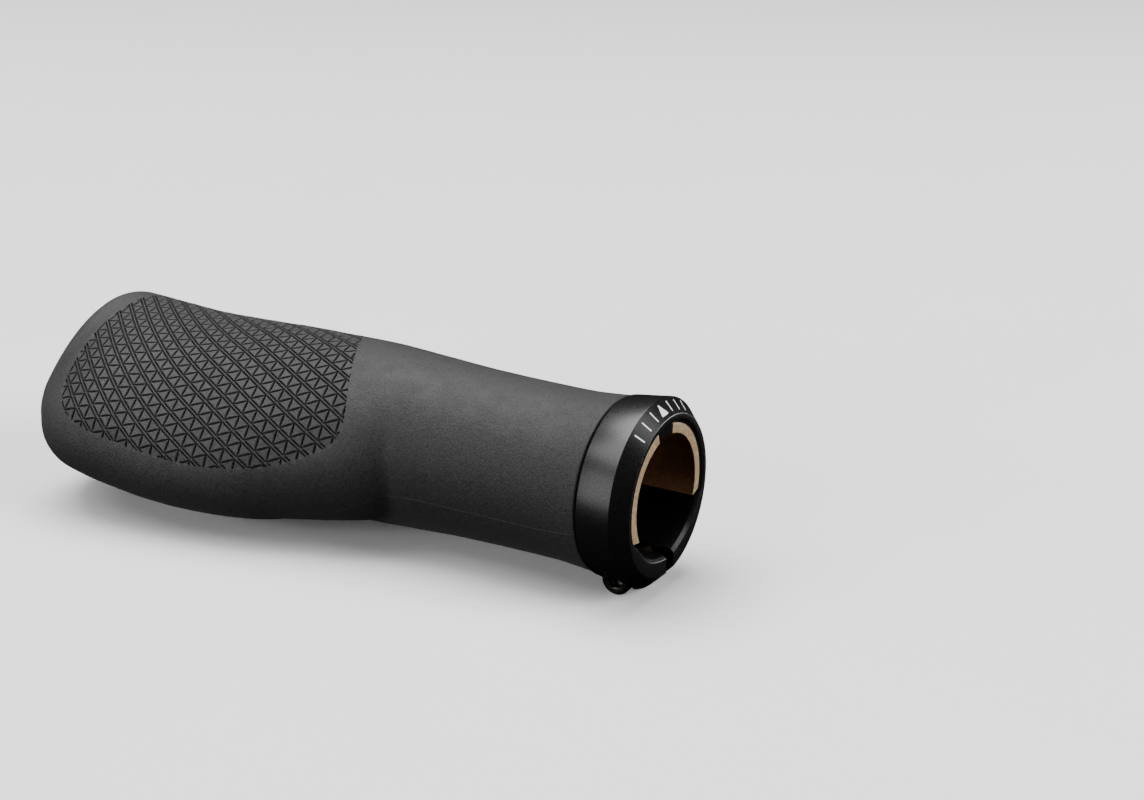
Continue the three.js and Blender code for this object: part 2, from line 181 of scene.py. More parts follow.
# Clamp screw
screw_radius = 1.5
screw_axis = 13.1
screw_inboard = 0.4
screw_seat = 7.6
screw_under_head = -7.9
screw_length = 14
screw_head_radius = 2.75
screw_head_height = 3
screw_pocket_radius = 3.1
screw_hole_radius = 1.65
screw_hole_end = 6.7
hex_across_flats = 2.5
hex_depth = 1.7
screw_head_round = 0.55
screw_head_dish = 0.02
screw_head_flat = 0.75
screw_under_head_round = 0.2
thread_pitch = 0.5
thread_depth = 0.22
thread_root = (0.42, 0.58)
thread_start = 1.2
thread_margin = 0.4
screw_tip = [(0.3, 0.1), (0, 0.5)]
screw_edge_round = 0.07

# End plug
plug_radius = 14.0
plug_rim_depth = 2.6
plug_recess_radius = 14.35
plug_recess_depth = 2.95
plug_stem_radius = core_bore - 0.3
plug_stem_taper = 0.4
plug_rim_width = 2.2
plug_rim_slope = 0.5
plug_dish = 0.45
plug_crown = 0.25
plug_crown_inset = 1.1
plug_crown_rings = 14
axis_radius = 0.4


class GripSleeveSizes(PropertyGroup):
    tread_sink: FloatProperty(
        name="Tread sink", description="How far the tread's tops lie below the skin",
        default=0.03 * MM, min=0, precision=5, unit="LENGTH")
    groove_depth: FloatProperty(
        name="Groove depth", description="Depth of the tread's grooves",
        default=0.72 * MM, min=0, precision=5, unit="LENGTH")
    groove_width: FloatProperty(
        name="Groove width", description="Width of the grooves between triangles",
        default=0.5 * MM, min=0, precision=5, unit="LENGTH")
    rib_width: FloatProperty(
        name="Rib width", description="Width of the long ribs",
        default=0.24 * MM, min=0, precision=5, unit="LENGTH")
    rib_groove_width: FloatProperty(
        name="Rib groove width", description="Width of the groove beside a rib",
        default=0.38 * MM, min=0, precision=5, unit="LENGTH")
    grain_size: FloatProperty(
        name="Grain size", description="Size of the rubber's grain",
        default=0.32 * MM, min=0.01 * MM, precision=5, unit="LENGTH")


class GripCollarSizes(PropertyGroup):
    edge_round: FloatProperty(
        name="Edge round", description="Radius of the collar's machined edges",
        default=0.16 * MM, min=0.01 * MM, precision=5, unit="LENGTH")
    mark_width: FloatProperty(
        name="Mark width", description="Width of a scale mark",
        default=0.27 * MM, min=0, precision=5, unit="LENGTH")
    mark_step: FloatProperty(
        name="Mark step", description="Angle between scale marks",
        default=math.radians(10), subtype="ANGLE")


class GripColours(PropertyGroup):
    rubber: FloatVectorProperty(
        name="Rubber", description="Colour of the soft sleeve",
        default=(0.022, 0.022, 0.0232), subtype="COLOR")
    core: FloatVectorProperty(
        name="Core", description="Colour of the core tube",
        default=(0.41, 0.295, 0.17), subtype="COLOR")
    core_fleck: FloatVectorProperty(
        name="Core fleck", description="Colour of the flecks in the core",
        default=(0.62, 0.48, 0.32), subtype="COLOR")
    # The bore's colour is the core's tan made darker and warmer: painted shade inside the bore.
    bore: FloatVectorProperty(
        name="Bore", description="Colour of the core tube's bore",
        default=(0.3, 0.165, 0.08), subtype="COLOR")
    collar: FloatVectorProperty(
        name="Collar", description="Colour of the anodised collar",
        default=(0.0045, 0.0045, 0.0048), subtype="COLOR")
    marks: FloatVectorProperty(
        name="Marks", description="Colour of the scale marks",
        default=(0.86, 0.86, 0.86), subtype="COLOR")
    screw: FloatVectorProperty(
        name="Screw", description="Colour of the screw's black finish",
        default=(0.2, 0.19, 0.175), subtype="COLOR")
    plug: FloatVectorProperty(
        name="Plug", description="Colour of the end plug",
        default=(0.03, 0.03, 0.032), subtype="COLOR")
    floor: FloatVectorProperty(
        name="Floor", description="Colour of the studio floor",
        default=(0.9, 0.9, 0.9), subtype="COLOR")


# Smooth curves and the sleeve's skin
def smooth_through(stations):
    """A monotone curve through (distance, size) stations, evaluated on an array."""
    xs, vs = np.array(stations, float).T
    spans = np.diff(xs)
    slopes = np.diff(vs) / spans
    tangents = np.concatenate([slopes[:1], np.zeros(len(xs) - 2), slopes[-1:]])
    before, after = slopes[:-1], slopes[1:]
    rising = before * after > 0
    tangents[1:-1][rising] = (2 * before * after / np.where(rising, before + after, 1))[rising]

    def value(x):
        x = np.clip(x, xs[0], xs[-1])
        i = np.clip(np.searchsorted(xs, x, side="right") - 1, 0, len(spans) - 1)
        t = (x - xs[i]) / spans[i]
        a, b = vs[i], vs[i + 1]
        ta, tb = tangents[i] * spans[i], tangents[i + 1] * spans[i]
        return a + t * (ta + t * (3 * (b - a) - 2 * ta - tb + t * (2 * (a - b) + ta + tb)))
    return value


def softened(curve, spread=2.0, taps=9, least_weight=0.05):
    """The curve averaged over a short stretch, so that its bends have no kinks."""
    offsets = np.linspace(-1, 1, taps) * spread
    weights = np.cos(offsets / spread * math.pi / 2) + least_weight

    def value(x):
        x = np.asarray(x, float)
        near_end = np.clip(np.minimum(x, sleeve_end - x) / spread, 0, 1)
        samples = [curve(x + offset * near_end) for offset in offsets]
        return np.average(samples, axis=0, weights=weights)
    return value


rubber_at = softened(smooth_through(rubber_stations))
reach_at = softened(smooth_through(reach_stations))
wing_edge_at = softened(smooth_through(wing_edge_stations))
wing_droop_at = softened(smooth_through(wing_droop_stations))
rib_course_at = smooth_through(rib_course_stations)


def sleeve_section(x):
    """The sleeve's outline at a distance along the bar: the edge of a row of circles, from its top."""
    t = min(x / boss_edge_round, 1)
    body = core_radius + rubber_at(x) - boss_edge_round * (1 - math.sqrt(1 - (1 - t) ** 2))
    reach = reach_at(x)
    droop = math.radians(wing_droop_at(x))
    k = np.linspace(0, 1, spine_steps + 1)
    y = -reach * k * math.cos(droop)
    z = -reach * k * math.sin(droop) + wing_crown * reach * 4 * k * (1 - k)
    r = body + (min(wing_edge_at(x), body) - body) * k
    angle = math.pi / 2 + np.arange(section_rays + 1) * 2 * math.pi / section_rays
    c, s = np.cos(angle)[:, None], np.sin(angle)[:, None]
    across = y * s - z * c
    hit = np.where(np.abs(across) < r, y * c + z * s + np.sqrt(np.maximum(r * r - across * across, 0)), 0)
    far = hit.max(axis=1)
    return np.stack([far * c[:, 0], far * s[:, 0]], axis=1)


class Skin:
    """The sleeve's skin: a place along the bar, round the section and above the surface gives a point."""

    end_places = np.array([
        0, 0.02, 0.06, 0.12, 0.2, 0.3, 0.42, 0.56, 0.72, 0.9, 1.1, 1.35, 1.6, 1.9, 2.2, 2.5])
    place_step = 0.4
    round_step = 0.2
    round_limit = 72
    tangent_reach = 0.4

    def __init__(self):
        step = self.place_step
        middle = np.arange(self.end_places[-1] + step, sleeve_end - step / 2, step)
        self.places = np.concatenate([self.end_places, middle, [sleeve_end]])
        self.rounds = np.arange(-self.round_limit, self.round_limit + self.round_step / 2, self.round_step)
        rows = []
        totals = []
        for x in self.places:
            points = sleeve_section(x)
            lengths = np.concatenate([[0], np.cumsum(np.hypot(*np.diff(points, axis=0).T))])
            distance = self.rounds % lengths[-1]
            rows.append([np.interp(distance, lengths, points[:, k]) for k in range(2)])
            totals.append(lengths[-1])
        self.table = np.array(rows).transpose(0, 2, 1)
        self.totals = np.array(totals)

    def total(self, x):
        return np.interp(x, self.places, self.totals)

    def flat(self, x, around):
        i = np.clip(np.searchsorted(self.places, x, side="right") - 1, 0, len(self.places) - 2)
        u = ((x - self.places[i]) / (self.places[i + 1] - self.places[i]))[:, None]
        place = (around + self.round_limit) / self.round_step
        j = np.clip(np.floor(place).astype(int), 0, len(self.rounds) - 2)
        v = (place - j)[:, None]
        near = self.table[i, j] * (1 - v) + self.table[i, j + 1] * v
        far = self.table[i + 1, j] * (1 - v) + self.table[i + 1, j + 1] * v
        return near * (1 - u) + far * u

    def points(self, x, around, rise):
        x, around, rise = (np.asarray(a, float) for a in (x, around, rise))
        middle = self.flat(x, around)
        tangent = self.flat(x, around + self.tangent_reach) - self.flat(x, around - self.tangent_reach)
        tangent /= np.linalg.norm(tangent, axis=1)[:, None]
        y = middle[:, 0] + rise * tangent[:, 1]
        z = middle[:, 1] - rise * tangent[:, 0]
        return np.stack([x, y, z], axis=1)


skin = Skin()


# Meshes
weld_distance = 1e-7


def shade(mesh, sharp):
    """Shades a mesh smooth, apart from edges sharper than an angle in degrees."""
    mesh.polygons.foreach_set("use_smooth", [True] * len(mesh.polygons))
    mesh.set_sharp_from_angle(angle=math.radians(sharp))
    mesh.update()


def closed_piece(name, vertices, faces, material, sharp=35):
    """A closed piece from points in millimetres, with its faces turned outwards."""
    mesh = bpy.data.meshes.new(name)
    mesh.from_pydata((np.asarray(vertices) * MM).tolist(), [], [list(map(int, face)) for face in faces])
    mesh.validate()
    mesh.materials.append(material)
    piece = bpy.data.objects.new(name, mesh)
    bpy.context.scene.collection.objects.link(piece)
    shape = bmesh.new()
    shape.from_mesh(mesh)
    bmesh.ops.remove_doubles(shape, verts=shape.verts, dist=weld_distance)
    bmesh.ops.recalc_face_normals(shape, faces=shape.faces)
    shape.to_mesh(mesh)
    shape.free()
    shade(mesh, sharp)
    return piece


def cut(piece, cutters):
    """Takes cutters out of a piece and removes them."""
    for cutter in cutters:
        boolean = piece.modifiers.new("cut", "BOOLEAN")
        boolean.operation = "DIFFERENCE"
        boolean.solver = "EXACT"
        boolean.object = cutter
    settled(piece)
    for cutter in cutters:
        bpy.data.objects.remove(cutter)


def settled(piece):
    """Applies a piece's modifiers to its mesh."""
    graph = bpy.context.evaluated_depsgraph_get()
    mesh = bpy.data.meshes.new_from_object(piece.evaluated_get(graph))
    old = piece.data
    piece.modifiers.clear()
    piece.data = mesh
    bpy.data.meshes.remove(old)
    mesh.name = piece.name


def strip(rings, capped=True):
    """Vertices and faces of closed rings joined one to the next, with a cap at each end."""
    count = len(rings[0])
    vertices = np.concatenate(rings)
    faces = []
    for i in range(len(rings) - 1):
        for k in range(count):
            n = (k + 1) % count
            faces.append((i * count + k, i * count + n, (i + 1) * count + n, (i + 1) * count + k))
    if capped:
        faces.append(range(count)[::-1])
        faces.append(range(len(vertices) - count, len(vertices)))
    return vertices, faces


def rounded_edges(piece, width, segments, least_angle, sharp):
    """Bevels a piece's sharp edges by a width in millimetres."""
    bevel = piece.modifiers.new("edges", "BEVEL")
    bevel.width = width * MM
    bevel.segments = segments
    bevel.limit_method = "ANGLE"
    bevel.angle_limit = math.radians(least_angle)
    settled(piece)
    shade(piece.data, sharp)
    return piece


def ring_at(x, radius, angle):
    """Points at angles round the bar's axis; the distance and radius are numbers or arrays."""
    return np.stack([x + 0 * angle, radius * np.cos(angle), radius * np.sin(angle)], axis=1)


def turned_rings(profile, sides):
    angle = np.arange(sides) * 2 * math.pi / sides
    return [ring_at(distance, radius, angle) for distance, radius in profile]


def turned(name, profile, material, sides=128, closed=False):
    """A piece turned about the bar's axis from (distance, radius) points."""
    rings = turned_rings(profile, sides)
    if closed:
        rings.append(rings[0])
    return closed_piece(name, *strip(rings, capped=not closed), material)


def fillet(before, corner, after, radius, steps=4):
    """Points of an arc that rounds a corner of a profile."""
    before, corner, after = (np.array(p, float) for p in (before, corner, after))
    inward = (before - corner) / np.linalg.norm(before - corner)
    onward = (after - corner) / np.linalg.norm(after - corner)
    half = math.acos(np.clip(inward @ onward, -1, 1)) / 2
    setback = radius / math.tan(half)
    middle = corner + (inward + onward) / np.linalg.norm(inward + onward) * radius / math.sin(half)
    start = corner + inward * setback - middle
    end = corner + onward * setback - middle
    turn = math.acos(np.clip(start @ end / radius ** 2, -1, 1))
    arc = []
    for k in range(steps + 1):
        t = k / steps
        arc.append(middle + (start * math.sin((1 - t) * turn) + end * math.sin(t * turn)) / math.sin(turn))
    return arc


def rounded_profile(points, radii):
    """A closed profile whose corners are rounded by the given radii."""
    rounded = []
    count = len(points)
    for k, (corner, radius) in enumerate(zip(points, radii)):
        if radius:
            rounded.extend(fillet(points[k - 1], corner, points[(k + 1) % count], radius))
        else:
            rounded.append(np.array(corner, float))
    return rounded


def dress(piece, node):
    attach(piece, "root")
    if node:
        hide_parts(node)


# Materials
class Nodes:
    """A short way to build a node material."""

    def __init__(self, name):
        self.material = bpy.data.materials.new(name)
        self.material.use_nodes = True
        self.tree = self.material.node_tree
        self.shader = self.tree.nodes["Principled BSDF"]
        self.place = self.tree.nodes.new("ShaderNodeTexCoord").outputs["Object"]

    def noise(self, size, detail=2.0, rough=0.5, stretch=None):
        """Noise with features of about size millimetres."""
        place = self.place
        if stretch:
            mapping = self.tree.nodes.new("ShaderNodeMapping")
            mapping.inputs["Scale"].default_value = stretch
            self.tree.links.new(self.place, mapping.inputs["Vector"])
            place = mapping.outputs["Vector"]
        node = self.tree.nodes.new("ShaderNodeTexNoise")
        node.inputs["Scale"].default_value = 1 / (size * MM)
        node.inputs["Detail"].default_value = detail
        node.inputs["Roughness"].default_value = rough
        self.tree.links.new(place, node.inputs["Vector"])
        return node.outputs["Fac"]

    def spread(self, value, low, high, from_low=0.3, from_high=0.7):
        """A value mapped from one range to another."""
        node = self.tree.nodes.new("ShaderNodeMapRange")
        node.inputs["From Min"].default_value = from_low
        node.inputs["From Max"].default_value = from_high
        node.inputs["To Min"].default_value = low
        node.inputs["To Max"].default_value = high
        self.tree.links.new(value, node.inputs["Value"])
        return node.outputs["Result"]

    def colours(self, value, *stops):
        ramp = self.tree.nodes.new("ShaderNodeValToRGB")
        elements = ramp.color_ramp.elements
        elements[0].position, elements[0].color = stops[0][0], (*stops[0][1], 1)
        elements[1].position, elements[1].color = stops[-1][0], (*stops[-1][1], 1)
        for position, colour in stops[1:-1]:
            elements.new(position).color = (*colour, 1)
        self.tree.links.new(value, ramp.inputs["Fac"])
        return ramp.outputs["Color"]

    def link(self, value, socket):
        self.tree.links.new(value, self.shader.inputs[socket])

    def sockets(self, **values):
        """Constants on the shader's own sockets, by name with _ for a space."""
        for name, value in values.items():
            self.shader.inputs[name.replace("_", " ")].default_value = value

    def bump(self, *layers):
        """Bumps on top of each other, each a (value, height in millimetres) pair."""
        normal = None
        for value, height in layers:
            node = self.tree.nodes.new("ShaderNodeBump")
            node.inputs["Distance"].default_value = height * MM
            self.tree.links.new(value, node.inputs["Height"])
            if normal:
                self.tree.links.new(normal, node.inputs["Normal"])
            normal = node.outputs["Normal"]
        self.tree.links.new(normal, self.shader.inputs["Normal"])


def scaled(colour, factor):
    return tuple(min(channel * factor, 1) for channel in colour)


def mottled(name, colour, mottle, shades, gloss_mottle, roughness, relief=None, **constants):
    """A finish whose colour and gloss vary a little: each mottle is a noise's size and detail."""
    look = Nodes(name)
    stops = [(place, scaled(colour, share)) for place, share in shades]
    look.link(look.colours(look.noise(*mottle), *stops), "Base Color")
    look.link(look.spread(look.noise(*gloss_mottle), *roughness), "Roughness")
    look.sockets(**constants)
    if relief:
        *noise, height = relief
        look.bump((look.noise(*noise), height))
    return look.material


def rubber_material(colours, sizes):
    look = Nodes("rubber_charcoal")
    size = sizes.grain_size / MM
    grain = look.noise(size, 2, 0.6)
    pebble = look.noise(size * 3.2, 1)
    base = colours.rubber
    look.link(look.colours(grain, (0.3, scaled(base, 0.5)), (0.7, scaled(base, 1.5))), "Base Color")
    look.link(look.spread(look.noise(3, 4), 0.5, 0.62), "Roughness")
    look.sockets(Specular_IOR_Level=0.32, Sheen_Weight=0.04, Sheen_Roughness=0.5)
    look.bump((grain, 0.1), (pebble, 0.04))
    return look.material


def core_material(name, colour, fleck):
    look = Nodes(name)
    chips = look.noise(0.5, 3, 0.6, stretch=(0.7, 1, 1))
    look.link(look.colours(chips, (0.36, scaled(colour, 0.8)), (0.54, colour), (0.7, fleck)), "Base Color")
    look.link(look.spread(look.noise(0.5), 0.26, 0.4), "Roughness")
    look.sockets(Specular_IOR_Level=0.5, Subsurface_Weight=0.3, Subsurface_Radius=(1.0, 0.45, 0.2),
                 Subsurface_Scale=0.8 * MM)
    look.bump((look.noise(0.35, 3), 0.006))
    return look.material


def collar_material(colours):
    return mottled("collar_black_anodised", colours.collar, (0.3, 1), ((0.35, 0.85), (0.7, 1.5)),
                   (0.16, 2), (0.24, 0.36), (0.14, 2, 0.006), Specular_IOR_Level=0.62)


def marks_material(colours):
    return mottled("mark_white_ink", colours.marks, (0.25,), ((0.3, 0.94), (0.7, 1)), (0.3,), (0.4, 0.55))


def screw_material(colours):
    return mottled("screw_black_oxide", colours.screw, (0.5, 3), ((0.3, 0.7), (0.75, 1.6)),
                   (0.4, 3), (0.26, 0.42), (0.12, 0.004), Metallic=1.0)


def plug_material(colours):
    return mottled("plug_plastic", colours.plug, (4, 3), ((0.3, 0.9), (0.7, 1.15)),
                   (1.5, 3), (0.42, 0.55), (0.22, 2, 0.02))


def floor_material(colours):
    return mottled("floor_pale", colours.floor, (60, 2), ((0.3, 0.99), (0.7, 1)),
                   (30, 2), (0.7, 0.8), Specular_IOR_Level=0.2)


# Tread
def tread_limit(cuts=3):
    """The tread's outline with every corner cut again and again, so that it is round."""
    outline = np.array(tread_outline, float)
    for _ in range(cuts):
        after = np.roll(outline, -1, axis=0)
        quarters = [outline * 0.75 + after * 0.25, outline * 0.25 + after * 0.75]
        outline = np.stack(quarters, axis=1).reshape(-1, 2)
    return outline


def lattice_node(i, j, beside=0.0):
    """A node on a rib's middle line, or beside it by a distance across the rib."""
    x = tread_start + i * tread_step
    course = rib_course_at(np.array([x - tread_step, x, x + tread_step]))
    slope = math.atan2(course[2] - course[0], 2 * tread_step)
    return np.array([x - beside * math.sin(slope), course[1] + j * tread_height + beside * math.cos(slope)])


def drawn_in(corners, insets):
    """Corners of a triangle whose edges lie inside those of another by three distances."""
    lines = []
    for k in range(3):
        p, q = corners[k], corners[(k + 1) % 3]
        along = (q - p) / np.linalg.norm(q - p)
        normal = np.array([along[1], -along[0]])
        lines.append((normal, normal @ p + insets[k]))
    inner = []
    for k in range(3):
        a, b = lines[k], lines[k - 1]
        inner.append(np.linalg.solve(np.array([a[0], b[0]]), np.array([a[1], b[1]])))
    return inner


class Tread:
    """The tread's polygons in the flat layout, with a height for each point."""

    edge_steps = 6
    edge_round = 0.07
    node_share = 0.22
    node_depth = 0.18
    pinch = 0.5
    rib_flat = 0.7
    rib_rise = 0.03
    floor_share = 0.15
    wall_share = 0.8

    def __init__(self, sizes):
        self.outline = tread_limit()
        self.top = -sizes.tread_sink / MM
        self.groove_depth = sizes.groove_depth / MM
        self.rib_half = sizes.rib_width / MM / 2
        rib_groove_half, groove_half = sizes.rib_groove_width / MM / 2, sizes.groove_width / MM / 2
        self.insets = np.array([rib_groove_half, groove_half, groove_half])
        self.foot = self.rib_half + rib_groove_half

    def floor(self, t):
        """Height of a groove's floor along its length: shallow at the nodes, deep between them."""
        ease = min(min(t, 1 - t) / self.node_share, 1)
        ease = ease * ease * (3 - 2 * ease)
        return self.top - self.groove_depth * (self.node_depth + (1 - self.node_depth) * ease)

    def ring(self, corners, height):
        """Points along a triangle's three edges; height is a number, or None for the groove's floor."""
        points = []
        for k in range(3):
            p, q = corners[k], corners[(k + 1) % 3]
            for n in range(self.edge_steps):
                t = n / self.edge_steps
                points.append((*(p + (q - p) * t), self.floor(t) if height is None else height))
        return points

    def pinched(self, corners, inner, height):
        """Points along a smaller triangle's edges that reach out near its corners, where the grooves end."""
        points = []
        for k, (outer, place) in enumerate(zip(self.ring(corners, 0), self.ring(inner, height))):
            t = k % self.edge_steps / self.edge_steps
            share = self.pinch * max(1 - min(t, 1 - t) / self.node_share, 0)
            x, around = (a + (b - a) * share for a, b in zip(place[:2], outer[:2]))
            points.append((x, around, height))
        return points

    def raised_triangle(self, corners):
        """A raised triangle, whose first edge runs along a rib."""
        base, wall, top = (drawn_in(corners, inset) for inset in (
            self.insets * self.floor_share, self.insets * self.wall_share, self.insets + self.edge_round / 2))
        rings = [
            self.ring(corners, None),
            self.ring(base, None),
            self.pinched(corners, wall, self.top - self.edge_round),
            self.pinched(corners, top, self.top),
        ]
        count = len(rings[0])
        polygons = [rings[3]]
        for low, high in zip(rings, rings[1:]):
            for k in range(count):
                n = (k + 1) % count
                polygons.append([low[k], low[n], high[n], high[k]])
        return polygons

    def rib_piece(self, i, j):
        """One stretch of a rib between two nodes, with the slope down to the groove on each side."""
        half = self.rib_half
        flat = half * self.rib_flat
        sides = [(-self.foot, None), (-half, -self.edge_round), (-flat, self.rib_rise), (flat, self.rib_rise),
                 (half, -self.edge_round), (self.foot, None)]
        rows = []
        for beside, rise in sides:
            p, q = lattice_node(i, j, beside), lattice_node(i + 1, j, beside)
            row = []
            for n in range(self.edge_steps + 1):
                t = n / self.edge_steps
                row.append((*(p + (q - p) * t), self.floor(t) if rise is None else self.top + rise))
            rows.append(row)
        polygons = []
        for low, high in zip(rows, rows[1:]):
            for n in range(self.edge_steps):
                polygons.append([low[n], high[n], high[n + 1], low[n + 1]])
        return polygons

    def polygons(self):
        low, high = self.outline.min(axis=0), self.outline.max(axis=0)
        polygons = []
        for i in range(math.floor((low[0] - tread_start) / tread_step) - 1,
                       math.ceil((high[0] - tread_start) / tread_step) + 1):
            course = rib_course_at(tread_start + i * tread_step)
            first = math.floor((low[1] - course) / tread_height) - 2
            last = math.ceil((high[1] - course) / tread_height) + 1
            for j in range(first, last):
                near, near_next = lattice_node(i, j, self.foot), lattice_node(i + 1, j, self.foot)
                far, far_next = lattice_node(i, j + 1, -self.foot), lattice_node(i + 1, j + 1, -self.foot)
                cell = np.array([near, near_next, far, far_next])
                if (cell.max(axis=0) < low).any() or (cell.min(axis=0) > high).any():
                    continue
                polygons += self.rib_piece(i, j)
                polygons += self.raised_triangle([near_next, near, far])
                polygons += self.raised_triangle([far, far_next, near_next])
        return [kept for kept in map(self.clipped, polygons) if len(kept) > 2]

    def clipped(self, polygon):
        """The part of a polygon that lies inside the outline, which is convex."""
        a = self.outline
        b = np.roll(a, -1, axis=0)
        kept = [tuple(p) for p in polygon]
        p = np.array(kept)[:, None, :2]
        side = (b[:, 0] - a[:, 0]) * (p[..., 1] - a[:, 1]) - (b[:, 1] - a[:, 1]) * (p[..., 0] - a[:, 0])
        if (side <= 0).all():
            return kept
        if (side > 0).all(axis=0).any():
            return []
        for k in np.nonzero((side > 0).any(axis=0))[0]:
            (ax, ay), (bx, by) = a[k], b[k]
            sides = [(bx - ax) * (q[1] - ay) - (by - ay) * (q[0] - ax) for q in kept]
            following = []
            for n, q in enumerate(kept):
                m = (n + 1) % len(kept)
                if sides[n] <= 0:
                    following.append(q)
                if sides[n] * sides[m] < 0:
                    (start, s0), (end, s1) = sorted([(q, sides[n]), (kept[m], sides[m])])
                    t = s0 / (s0 - s1)
                    following.append(tuple(u + (v - u) * t for u, v in zip(start, end)))
            kept = following
            if len(kept) < 3:
                return []
        return kept


def outline_loop(edges):
    """Vertex numbers in order along a set of one-way boundary edges, for its longest loop."""
    following = dict(edges)
    longest = []
    while following:
        start = next(iter(following))
        loop = [start]
        here = following.pop(start)
        while here != start and here in following:
            loop.append(here)
            here = following.pop(here)
        if len(loop) > len(longest):
            longest = loop
    return longest


def offset_outline(outline, distance, step):
    """A closed outline moved outwards, with points at an even step."""
    ahead = np.roll(outline, -1, axis=0) - np.roll(outline, 1, axis=0)
    outward = np.stack([ahead[:, 1], -ahead[:, 0]], axis=1) / np.linalg.norm(ahead, axis=1)[:, None]
    if ((outline - outline.mean(axis=0)) * outward).sum() < 0:
        outward = -outward
    moved = outline + outward * distance
    moved = np.vstack([moved, moved[:1]])
    lengths = np.concatenate([[0], np.cumsum(np.linalg.norm(np.diff(moved, axis=0), axis=1))])
    places = np.linspace(0, lengths[-1], round(lengths[-1] / step), endpoint=False)
    return np.stack([np.interp(places, lengths, moved[:, k]) for k in range(2)], axis=1)


def without_pinches(taken):
    """Grid cells that are taken, with more taken wherever two would touch at a corner only."""
    while True:
        after = np.roll(taken, -1, axis=1)
        one, two = taken[:-1] & after[1:], taken[1:] & after[:-1]
        pinch = (one & ~taken[1:] & ~after[:-1]) | (two & ~taken[:-1] & ~after[1:])
        if not pinch.any():
            return taken
        taken = taken.copy()
        taken[:-1] |= pinch
        taken[1:] |= pinch


def inside(points, loop):
    """Which points lie inside a closed loop."""
    x, y = points[:, 0][:, None], points[:, 1][:, None]
    a, b = loop, np.roll(loop, -1, axis=0)
    crosses = (a[:, 1] > y) != (b[:, 1] > y)
    rise = np.where(b[:, 1] == a[:, 1], 1e-12, b[:, 1] - a[:, 1])
    at = a[:, 0] + (y - a[:, 1]) * (b[:, 0] - a[:, 0]) / rise
    return (crosses & (x < at)).sum(axis=1) % 2 == 1


